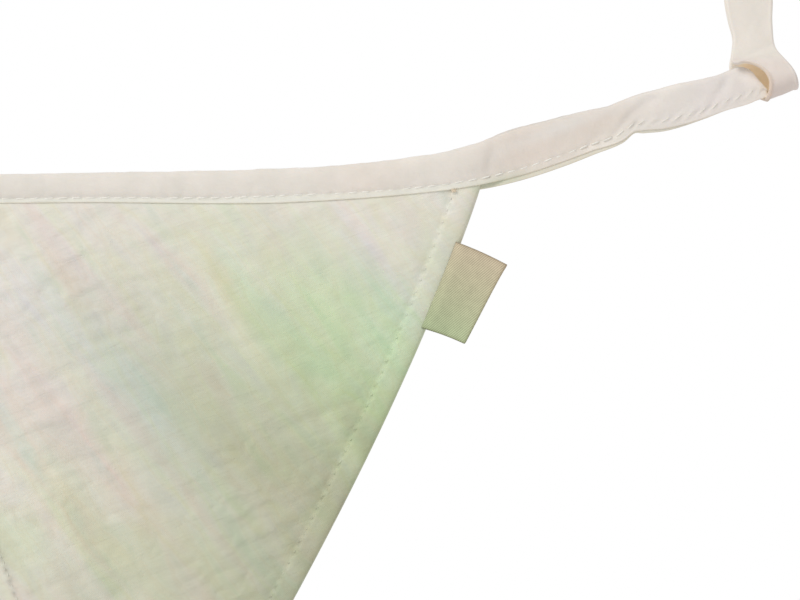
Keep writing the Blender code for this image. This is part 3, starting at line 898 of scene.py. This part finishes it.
def thread_material():
    """Cotton sewing thread with a twist."""
    material, tree, shader, place = new_material("thread", 0.62, 0.15)
    colour = mixed(tree, noise(tree, place, 900), *THREAD_TONES)
    plies = node(tree, "ShaderNodeTexWave", {"Vector": place, "Scale": 1900, "Distortion": 1.0},
                 bands_direction="DIAGONAL")
    surfaced(tree, shader, colour, plies.outputs["Fac"], 0.5, 0.0001)
    return material


def label_material():
    """Tan woven label with fine diagonal ribs and a slight sheen."""
    material, tree, shader, place = new_material("woven_label", 0.55, 0.35)
    sines = waves(tree, rotated(tree, cloth_place(tree), (0, 0, -28)), 0, 0.54)
    ribs = scaled(tree, sines, 0.5, 0.5)
    mottle = scaled(tree, noise(tree, place, 420, 3.0), 0.3, 0.85)
    colour = times(tree, mixed(tree, ribs, *LABEL_TONES), mottle)
    grain = scaled(tree, noise(tree, place, 2200), 0.35)
    surfaced(tree, shader, colour, added(tree, grain, ribs), 0.5, 0.00018)
    return material


def floor_material():
    """A pale floor, slightly uneven in tone."""
    material, tree, shader, place = new_material("pale_floor", 0.85, 0.0)
    tree.links.new(mixed(tree, noise(tree, place, 3.0), *FLOOR_TONES), shader.inputs["Base Color"])
    return material


# ---- tints ----


def tinted(amount, tint):
    """A tint by the given amounts, from 0 for none to 1 for all of it."""
    return 1 + amount[..., None] * (np.array(tint) - 1)


def wash_light_and_shade_tints(x, z, shift_x, seed, washes_light_and_shade):
    """The faint washes of colour and the patches of painted shade and light, as tints, moved by shift_x,
    with ragged edges by seed. Where shift_x isn't 0, their places and strengths vary too."""
    tint = np.ones((*x.shape, 3))
    jitter = np.random.default_rng(seed)
    for w in washes_light_and_shade:
        dx, dz, mix = jitter.uniform(-14, 14), jitter.uniform(-14, 14), jitter.uniform(0.6, 1)
        if shift_x == 0:
            dx, dz, mix = 0, 0, 1
        along, across = turned(x - w.x - shift_x - dx, z - w.z - dz, w.angle)
        ragged = 0.35 * soft_noise(along / 18, across / 5, seed + 5)
        strength = mix * bell(np.hypot(along / w.length, across / w.width + ragged), 1)
        tint *= 1 + strength[..., None] * (np.array(w.tint) - 1)
    return tint


def pennant_washes_and_shade(index, x, z):
    """The washes of colour and the painted shade of the index-th pennant."""
    shift_x = sum(pennant_ends(index)) / 2 - sum(pennant_ends(PENNANT_COUNT - 1)) / 2
    return wash_light_and_shade_tints(x, z, shift_x, 40 + index, PENNANT_WASHES_AND_SHADE)


def hem_tints_and_shade(from_side):
    """The hem's doubled cloth is lighter. Its rim gets painted shade, and so does the dip beside its
    stitching.
    """
    hem = tinted(smooth((HEM + 0.3 - from_side) / 0.6), HEM_TINT)
    # Painted shade on the rim and in the dip beside the stitching.
    rim_shade = tinted(bell(from_side, RIM_SHADE_WIDTH), RIM_SHADE_TINT)
    return hem * rim_shade * tinted(bell(from_side - HEM - 1.0, 1.3), DIP_SHADE_TINT)


# ---- the pennants ----


def pennant_grid(index):
    """The rows and columns of a pennant's cloth, as q for each row and s for each row and column, and
    the rows' widths. The right pennant, which the photograph shows, has the finest."""
    body_columns, body_rows = (158, 198) if index == PENNANT_COUNT - 1 else (86, 116)
    q = np.concatenate([ROWS_IN_TAPE, np.linspace(0, 0.94, body_rows), np.linspace(0.945, 1, 14)])
    widths = row_widths(index, q)
    offsets = np.array(HEM_COLUMNS)[None, :]
    scale = np.minimum(1.0, widths / (2 * offsets[0, -1]) * 0.85)
    hem = offsets * scale[:, None] / widths[:, None]
    return q, columns_across(hem, 1, body_columns), widths


def round_tip(middle, q):
    """Draws the last rows of a pennant's middle surface together, so that its tip is round."""
    closing = np.clip(1 - (1 - q) / TIP_ROUND, 0, 1)
    narrow = np.maximum(np.sqrt(1 - closing**2), TIP_END_WIDTH)[:, None]
    middle_x = (middle[:, :1, 0] + middle[:, -1:, 0]) / 2
    middle[..., 0] = middle_x + (middle[..., 0] - middle_x) * narrow


def add_pennant(index, material, thread):
    """A pennant of two layers, seamed, turned and topstitched, with its top edge inside the tape."""
    q, s, widths = pennant_grid(index)
    q_grid = np.broadcast_to(q[:, None], s.shape).copy()
    middle = pennant_middle(index, s, q_grid)
    round_tip(middle, q)
    heights = [pennant_heights(index, s, q_grid, widths[:, None], side) for side in (1, -1)]
    x, z = middle[..., 0], middle[..., 2]
    from_side = np.minimum(s, 1 - s) * widths[:, None]
    from_side = from_side - seam_scallop(index, s, q_grid, from_side)
    tints = pennant_washes_and_shade(index, x, z) * hem_tints_and_shade(from_side)
    name = f"pennant_cloth_{index + 1}"
    piece = add_sheet(name, middle, heights, (tints, tints), np.stack([x, z], -1), material)
    stitches = add_pennant_stitches(index, thread)
    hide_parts(f"pennant_{index + 1}")
    return piece, stitches


def back_tack(place, normal):
    """Three short crossed stitches that lock the end of a seam under the tape's edge."""
    middles = place + normal * 1.42 + np.array([(0.0, 0.0, 0.45), (0.2, 0.0, 0.25), (-0.1, 0.0, 0.1)])
    reaches = np.array([(0.7, 0.0, 0.1), (0.5, 0.0, -0.3), (0.4, 0.0, 0.35)])
    return middles - reaches, middles + reaches, np.broadcast_to(normal, middles.shape)


def add_pennant_stitches(index, thread):
    """The topstitching inside the pennant's sides, on the front and the back."""
    found = []
    for left in (True, False):
        _, line, counted, normal = seam_line(index, left)
        for side in (1, -1):
            raised = line + normal * side * HEM_THREAD_OUT
            found.append(seam_stitches(raised, counted, normal * side, HEM_SLANT * side))
        found.append(back_tack(line[0], normal[0]))
    starts, ends, ups = map(np.concatenate, zip(*found))
    tints = pennant_washes_and_shade(index, starts[:, 0], starts[:, 2])
    # The last back tack, under the tape's lip, gets painted shade.
    tints[-3:] *= TACK_SHADE_TINT
    return add_stitches(f"pennant_stitches_{index + 1}", starts, ends, ups, tints, thread)


# ---- the tape ----


def stitch_up(x):
    """How far above the tape's lower edge its topstitching runs at x."""
    return np.interp(np.abs(x), TAPE_STITCH_X, TAPE_STITCH_UP)


def tape_pressed(x):
    """The tape's inner half depth where its topstitching holds it together, over what is inside it."""
    filled = (tape_gap(x) - FOLD_SHUT) / (FOLD_OPEN - FOLD_SHUT)
    return TAPE_PRESSED_GAP + (PANEL_HALF_IN_TAPE + 0.02) * filled


def tape_half(from_edge):
    """Half the thickness of the tape's cloth, which is thinnest at its lips."""
    return TAPE_LIP_HALF + (TAPE_WALL / 2 - TAPE_LIP_HALF) * smooth(from_edge / TAPE_LIP_WIDTH)


def tape_points(x, distance):
    """The tape's middle surface at x, at distances along its section from the front leg's lower edge
    over the fold to the back leg's."""
    centre, across, facing, width = tape_frame(x)
    reach = ((tape_gap(x) + TAPE_WALL) / 2)[:, None]
    low = (-width / 2)[:, None]
    seam = stitch_up(x)[:, None]
    shoulder = width[:, None] / 2 - TAPE_WALL / 2 - reach
    leg = shoulder - low
    angle = np.clip((distance - leg) / reach, 0, np.pi)
    down_back = np.maximum(distance - leg - np.pi * reach, 0)
    up = np.where(distance < leg, low + distance, shoulder + reach * np.sin(angle) - down_back)
    side = np.cos(angle)
    above = (up - low - seam) / np.maximum(shoulder - low - seam, 0.5)
    pressed = tape_pressed(x)[:, None] + tape_half(up - low)
    depth = pressed + (reach - pressed) * smooth(above * 1.3)
    depth = depth + TAPE_PUFF * swell(above * 0.9, 0.8) * np.abs(side)
    out = np.where(np.abs(side) >= 1, side * depth, side * np.maximum(depth, reach))
    return centre[:, None] + facing[:, None] * out[..., None] + across[:, None] * up[..., None]


def tape_lengths(x):
    """The length of the tape's section at x, edge to edge."""
    _, _, _, width = tape_frame(x)
    reach = (tape_gap(x) + TAPE_WALL) / 2
    leg = width - TAPE_WALL / 2 - reach
    return 2 * leg + np.pi * reach + tape_value("behind", x)


def tape_run(x):
    """The tape's length so far at each x, and the stitches so far."""
    steps = np.linalg.norm(np.diff(tape_centre(x), axis=0), axis=1)
    pitch = np.interp(np.abs(x), TAPE_PITCH_X, TAPE_PITCH)
    return tuple(np.concatenate([[0], np.cumsum(part)]) for part in (steps, steps / pitch[1:]))


def on_tail(x):
    """1 on the tape's free ends and 0 between them."""
    return smooth((np.abs(x) - TAIL_FROM) / TAIL_COMES_OVER)


def tape_grid():
    """x of the tape's stations, from its left end to its right end, the distances round its section at
    each, and the section's lengths."""
    end = TAPE_X[-1]
    coarse = np.linspace(-end, TAPE_FINE_FROM, int((end + TAPE_FINE_FROM) / TAPE_STEP))
    fine = np.linspace(TAPE_FINE_FROM, end, int((end - TAPE_FINE_FROM) / TAPE_FINE_STEP))
    x = np.concatenate([coarse, fine[1:]])
    lengths = tape_lengths(x)[:, None]
    edge = np.array(TAPE_EDGE_COLUMNS)[None, :] * np.minimum(1, lengths / 9)
    return x, columns_across(edge, lengths, TAPE_MIDDLE_COLUMNS), lengths


def tape_puckers(counted, seam, tail):
    """What the topstitching draws up, by the stitches so far and the distance above the seam. On the
    free ends the puckers are stronger and slant."""
    wave = stitch_wave(counted)
    pucker = wave * (0.05 * bell(seam, 0.7) + 0.04 * np.exp(-np.abs(seam) / 1.6)) * (1 - 0.6 * tail)
    pucker = pucker + 0.11 * tail * stitch_wave(counted - 0.42 * seam) * bell(seam, 1.15)
    return pucker - 0.04 * needle_holes(wave) * bell(seam, 0.4)


def tape_ripples(run, distance, seam):
    """Soft unevenness of the tape's cloth, most of it just above the seam."""
    above_seam = np.exp(-np.clip(seam, 0, 9) / 2.2) * (seam > 0)
    ripples = 0.11 * soft_noise(run / 7, distance / 3.2, 5)
    ripples += 0.06 * soft_noise(run / 2.6, distance / 1.8, 6)
    ripples += 0.13 * soft_noise(run / 2.8 + distance / 4, distance / 5, 8) * above_seam
    return ripples + 0.05 * soft_noise(run / 1.7, distance / 4.5 + run / 9, 9)


def tape_dents(x, distance, lengths):
    """How deep the dents are in the tape's front, on the right and mirrored on the left."""
    up = distance - (lengths - 2) / 4
    depth = np.zeros_like(distance)
    for dent in TAPE_DENTS:
        for place in (dent.x, -dent.x):
            along, across = turned(x[:, None] - place, up - dent.up, dent.angle * np.sign(place))
            depth += dent.depth * bell(np.hypot(along / dent.length, across / dent.width), 1)
    return depth * (distance < lengths / 2)


def tape_tints(x, middle, distance, lengths, from_edge, seam):
    """Tints of the tape's outside and inside: washes of colour, painted light and shade, lips, and painted
    shade at the edges.
    """
    tail = on_tail(x)[:, None]
    lip = smooth((0.2 + tail - seam) / (0.5 + 2.5 * tail))
    tail_lip = lip * smooth((np.abs(x) - 490) / 20)[:, None]
    tints = wash_light_and_shade_tints(middle[..., 0], middle[..., 2], 0, 0, TAPE_WASHES_LIGHT_AND_SHADE)
    tints *= tinted(lip, LIP_TINT) * tinted(tail_lip, TAIL_LIP_TINT)
    # Painted shade at the lower edge, where the cloth turns down, and on the inside of the back lip.
    tints *= tinted(smooth((0.42 - from_edge) / 0.4), EDGE_SHADE_TINT)
    back_lip_shade = smooth((2.4 - from_edge) / 0.8) * (distance > lengths / 2)
    return tints, tints * tinted(back_lip_shade, BACK_LIP_SHADE_TINT)


def add_tape(material, thread):
    """The tape folded over the pennants' top edges, with thin lips, puckers and dents."""
    x, distance, lengths = tape_grid()
    middle = tape_points(x, distance)
    from_edge = np.minimum(distance, lengths - distance)
    seam = from_edge - stitch_up(x)[:, None]
    half = tape_half(from_edge) * rounded(from_edge / 0.34) * rounded((x[-1] - np.abs(x)) / 0.8)[:, None]
    run, counted = (values[:, None] for values in tape_run(x))
    relief = tape_puckers(counted, seam, on_tail(x)[:, None]) + tape_ripples(run, distance, seam)
    relief -= tape_dents(x, distance, lengths)
    outer = half + relief * np.clip(from_edge / 0.6, 0, 1)
    tints = tape_tints(x, middle, distance, lengths, from_edge, seam)
    uv = np.stack([np.broadcast_to(run, distance.shape), distance], -1)
    piece = add_sheet("tape_cloth", middle, (outer, half), tints, uv, material)
    stitches = add_tape_stitches(thread)
    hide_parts("tape")
    return piece, stitches


def add_tape_stitches(thread):
    """The topstitching along the tape's lower edges, through both legs."""
    end = TAPE_X[-1]
    x = np.linspace(-end, end, 3600)
    _, counted = tape_run(x)
    found = []
    for place in (stitch_up(x), tape_lengths(x) - stitch_up(x) - tape_value("behind", x)):
        middle = tape_points(x, np.stack([place - 0.1, place, place + 0.1], 1))
        normal = normals_of(middle)[:, 1]
        line = middle[:, 1] + normal * tape_half(stitch_up(x))[:, None]
        found.append(seam_stitches(line, counted, normal, TAPE_SLANT + TAIL_SLANT * on_tail(x)))
    starts, ends, ups = map(np.concatenate, zip(*found))
    tints = tinted(1 - on_tail(starts[:, 0]), TAPE_THREAD_TINT)
    return add_stitches("tape_stitches", starts, ends, ups, tints, thread)


# ---- the loops ----


def loop_stations():
    """All stations of the right loop in order, from under the tape and back to it."""
    half_width = LOOP_FRONT[-1].rx
    half_step = math.pi / LOOP_TOP_STEPS / 2
    centre_z = -LOOP_TOP_RADIUS * math.cos(half_step) - LOOP_THICK / 2
    top = []
    for step in range(1, LOOP_TOP_STEPS):
        angle = math.pi * step / LOOP_TOP_STEPS
        z = centre_z + LOOP_TOP_RADIUS * math.sin(angle)
        top.append(LoopRow(-half_width, z, half_width, z, -LOOP_TOP_RADIUS * math.cos(angle)))
    return np.array(LOOP_FRONT + top + LOOP_BACK)


def loop_edges():
    """The right loop's left and right edges at even steps round the ring, and the run so far."""
    table = loop_stations()
    centre = np.stack([(table[:, 0] + table[:, 2]) / 2, table[:, 4], (table[:, 1] + table[:, 3]) / 2], -1)
    steps = np.linalg.norm(np.roll(centre, -1, axis=0) - centre, axis=1)
    distance = np.concatenate([[0], np.cumsum(steps)])
    length = distance[-1]
    keys = np.concatenate([distance[-4:-1] - length, distance, distance[1:4] + length])
    at = np.linspace(0, length, LOOP_STATIONS, endpoint=False)

    def round_the_ring(values):
        return curve_through(keys, np.concatenate([values[-3:], values, values[:4]]), at)

    lx, lz, rx, rz, y = (round_the_ring(table[:, column]) for column in range(5))
    return np.stack([lx, y, lz], -1), np.stack([rx, y, rz], -1), at


def loop_heights(run, from_left, from_edge, cuff):
    """How far the strip's outside and inside stand off its middle surface."""
    rolled = (STRIP_LIP + CUFF_LIP * cuff) * bell(from_edge - 0.6, 0.4)
    rolled -= CUFF_TROUGH * cuff * bell(from_edge - 1.4, 0.4) + STRIP_HOLLOW * np.clip(from_edge / 2.5, 0, 1)
    relief = 0.10 * soft_noise(run / 6, from_left / 3, 21)
    relief += 0.05 * soft_noise(run / 2.4, from_left / 1.6, 22)
    edge = rounded(from_edge / 0.62)
    outside = (LOOP_THICK / 2 + rolled) * edge + relief * np.clip(from_edge / 0.8, 0, 1)
    return outside, (LOOP_THICK / 2 + np.minimum(rolled, STRIP_LIP)) * edge


def loop_tints(x, z, from_left):
    """Tints of the strip's outside and inside, which change at the cuff: painted light inside it and painted
    shade on its lip. x and z are from its top.
    """
    pocket = smooth((-42.5 - z) / 3)
    inside = tinted(pocket * smooth((x + 2.6) / 3), POCKET_TINT)
    inside = inside * tinted(pocket * smooth(-x - 2), POCKET_LEFT_TINT)
    # Painted shade on the cuff's lip.
    outside = tinted(pocket * smooth(1.5 - from_left) * smooth((x + 4) / 6), LOOP_LIP_SHADE_TINT)
    outside = outside * tinted(pocket, CUFF_TINT) * tinted(smooth((-46.5 - z) / 7), CUFF_FOOT_TINT)
    return outside, inside


def add_loop(name, side, node_name, material):
    """The strip's closed loop at the right end (side 1) or, mirrored, at the left end (side -1)."""
    left, right, run = loop_edges()
    run = run[:, None]
    width = np.linalg.norm(right - left, axis=1)[:, None]
    edge = np.broadcast_to(np.array(LOOP_EDGE_COLUMNS)[None, :], (len(run), len(LOOP_EDGE_COLUMNS)))
    from_left = columns_across(edge, width, LOOP_MIDDLE_COLUMNS)[:, ::-1]
    from_edge = np.minimum(from_left, width - from_left)
    middle = left[:, None] + (right - left)[:, None] * (from_left / width)[..., None]
    middle = middle + normals_of(middle, ring=True) * (STRIP_ARCH * swell(from_left / width, 1))[..., None]
    x, z = middle[..., 0], middle[..., 2]
    cuff = smooth((-43.5 - z) / 2.5) * smooth((x + 2.5) / 3)
    heights = loop_heights(run, from_left, from_edge, cuff)
    tints = loop_tints(x, z, from_left)
    uv = np.stack([np.broadcast_to(run, from_left.shape), from_left], -1)
    placed = middle * np.array([side, 1, 1]) + np.array([side * HALF_SPAN, 0, 0])
    if side < 0:
        placed, uv = placed[:, ::-1], uv[:, ::-1]
        heights, tints = ([a[:, ::-1] for a in pair] for pair in (heights, tints))
    piece = add_sheet(name, placed, heights, tints, uv, material, ring=True)
    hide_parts(node_name)
    return piece


# ---- the label ----


def label_section(reach):
    """Round the label's fold at each row, whose reach is given: how far out of the seam, how far ahead
    of the label's middle, and the run so far."""
    turn = LABEL_LAYER / 2 + LABEL_FOLD_GAP
    front = np.linspace(0, 1, LABEL_LAYER_COLUMNS)[None, :] * (reach - turn)
    arc = np.linspace(0, np.pi, 9)[None, 1:-1]
    fold = turn * np.cos(arc) * np.ones_like(reach)
    out = np.concatenate([front, reach - turn + turn * np.sin(arc), front[:, ::-1]], 1)
    ahead = np.concatenate([np.full_like(front, turn), fold, np.full_like(front, -turn)], 1)
    run = np.concatenate([front, reach + arc * turn, 2 * reach - front[:, ::-1]], 1)
    return out, ahead, run


def label_middle(share, reach, out, ahead):
    """The label's middle surface, by the share of its length and its section. It stands out of the
    right pennant's edge, curls and waves a little, and gets narrower towards its fold."""
    index = PENNANT_COUNT - 1
    v = (LABEL_FROM + (LABEL_TO - LABEL_FROM) * share)[:, 0]
    edge = pennant_middle(index, np.ones_like(v), v)
    inner = pennant_middle(index, np.full_like(v, 0.9), v)
    down = unit(pennant_middle(index, np.ones_like(v), v + 0.02) - edge)
    outward = unit(np.cross(down, np.array([0.0, 1.0, 0.0])))
    outward *= np.sign(np.sum(outward * (edge - inner), axis=1, keepdims=True))
    part = out / reach
    wave = LABEL_WAVE * np.sin(2 * np.pi * (0.8 * share + 0.4 * part)) * part
    seated = LABEL_SEATED * bell(out, LABEL_SEATED_OVER)
    forward = LABEL_MIDDLE_FORWARD + ahead - seated - LABEL_CURL * part**2 + wave
    drawn = (LABEL_DRAWN_TOP * (1 - share) - LABEL_DRAWN_FOOT * share) * part - LABEL_ARCH * swell(part, 1)
    place = edge[:, None] + outward[:, None] * (out - LABEL_INSIDE)[..., None]
    place = place + np.array([0.0, -1.0, 0.0]) * forward[..., None]
    return place + down[:, None] * drawn[..., None]


def label_tints(share, reach, out):
    """Tints of the label: darker at its cut edges and at its fold, painted shade by the seam, greener at its
    foot.
    """
    from_cut = LABEL_LENGTH * np.minimum(share, 1 - share)
    part = out / reach
    tints = tinted(np.exp(-from_cut / 0.35), LABEL_EDGE_TINT)
    tints = tints * tinted(np.exp(-np.abs(out - reach) / 0.3), LABEL_EDGE_TINT)
    tints = tints * tinted(share * np.ones_like(part), LABEL_FOOT_TINT)
    # Painted shade on the side by the seam.
    return tints * tinted((0.5 + 0.5 * share) * (1 - part), LABEL_SEAM_SHADE_TINT)


def add_label(material):
    """The folded woven label: front layer, fold at the outer edge, back layer."""
    share = np.linspace(0, 1, LABEL_ROWS)[:, None]
    reach = LABEL_OUT_TOP + (LABEL_OUT_FOOT - LABEL_OUT_TOP) * share - LABEL_WAIST * swell(share, 0.6)
    out, ahead, run = label_section(reach)
    middle = label_middle(share, reach, out, ahead)
    half = np.full(out.shape, LABEL_LAYER / 2)
    half[[1, -2]] *= 0.9
    tints = label_tints(share, reach, out)
    uv = np.stack([run, np.broadcast_to(LABEL_LENGTH * share, run.shape)], -1)
    piece = add_sheet("label_cloth", middle, (half, half), (tints, tints), uv, material)
    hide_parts("label")
    return piece


# ---- the stage ----

PHOTO_MIDDLE = (0.4792, -0.002, -0.1114)
PHOTO_WIDTH = 0.224
CAMERA_DISTANCE = 0.9
SENSOR = 36.0


def add_camera():
    """The camera, square on to the part that the photograph shows."""
    data = bpy.data.cameras.new("photo_camera")
    data.sensor_width = SENSOR
    data.lens = SENSOR * CAMERA_DISTANCE / PHOTO_WIDTH
    data.clip_start = 0.01
    data.clip_end = 50
    camera = bpy.data.objects.new("photo_camera", data)
    camera.location = (PHOTO_MIDDLE[0], PHOTO_MIDDLE[1] - CAMERA_DISTANCE, PHOTO_MIDDLE[2])
    camera.rotation_euler = (math.radians(90), 0, 0)
    bpy.context.scene.collection.objects.link(camera)
    bpy.context.scene.camera = camera


def add_sun(name, direction, strength, softness, colour):
    """A soft lamp that shines from the given direction."""
    data = bpy.data.lights.new(name, "SUN")
    data.energy = strength
    data.angle = math.radians(softness)
    data.color = colour
    lamp = bpy.data.objects.new(name, data)
    x, y, z = direction
    lamp.rotation_euler = (math.atan2(math.hypot(x, y), z), 0, math.atan2(y, x) + math.pi / 2)
    bpy.context.scene.collection.objects.link(lamp)


def add_world():
    """Even white studio light. The backdrop that the camera sees is plain white."""
    world = bpy.data.worlds.new("studio")
    world.use_nodes = True
    tree = world.node_tree
    tree.nodes.clear()
    ray = node(tree, "ShaderNodeLightPath").outputs["Is Camera Ray"]
    around = node(tree, "ShaderNodeBackground", {"Color": (1.0, 0.99, 0.975, 1), "Strength": 0.62})
    seen = node(tree, "ShaderNodeBackground", {"Color": (1, 1, 1, 1), "Strength": 1.0})
    blend = node(tree, "ShaderNodeMixShader", {0: ray, 1: around.outputs[0], 2: seen.outputs[0]})
    node(tree, "ShaderNodeOutputWorld", {"Surface": blend.outputs[0]})
    bpy.context.scene.world = world


def add_floor():
    """A floor well below the bunting, out of the photograph's view."""
    bpy.ops.mesh.primitive_grid_add(x_subdivisions=8, y_subdivisions=8, size=3.2, location=(0, 0, -0.62))
    floor = bpy.context.object
    floor.name = "floor"
    floor.data.materials.append(floor_material())


def build():
    """All pieces, riding on the one body, and the stage."""
    muslin, binding = muslin_material(), binding_material()
    thread, label = thread_material(), label_material()
    pieces = []
    for index in range(PENNANT_COUNT):
        pieces += add_pennant(index, muslin, thread)
    pieces += add_tape(binding, thread)
    pieces.append(add_loop("loop_cloth_right", 1, "loop_right", binding))
    pieces.append(add_loop("loop_cloth_left", -1, "loop_left", binding))
    pieces.append(add_label(label))
    for piece in pieces:
        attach(piece, "root")
    add_camera()
    add_world()
    add_sun("key", (-0.52, -0.62, 0.58), 1.35, 26, (1.0, 0.985, 0.96))
    add_sun("back_fill", (0.5, 0.8, 0.5), 0.7, 40, (1.0, 1.0, 1.0))
    add_floor()
    bpy.context.scene.view_settings.view_transform = "Standard"


build()
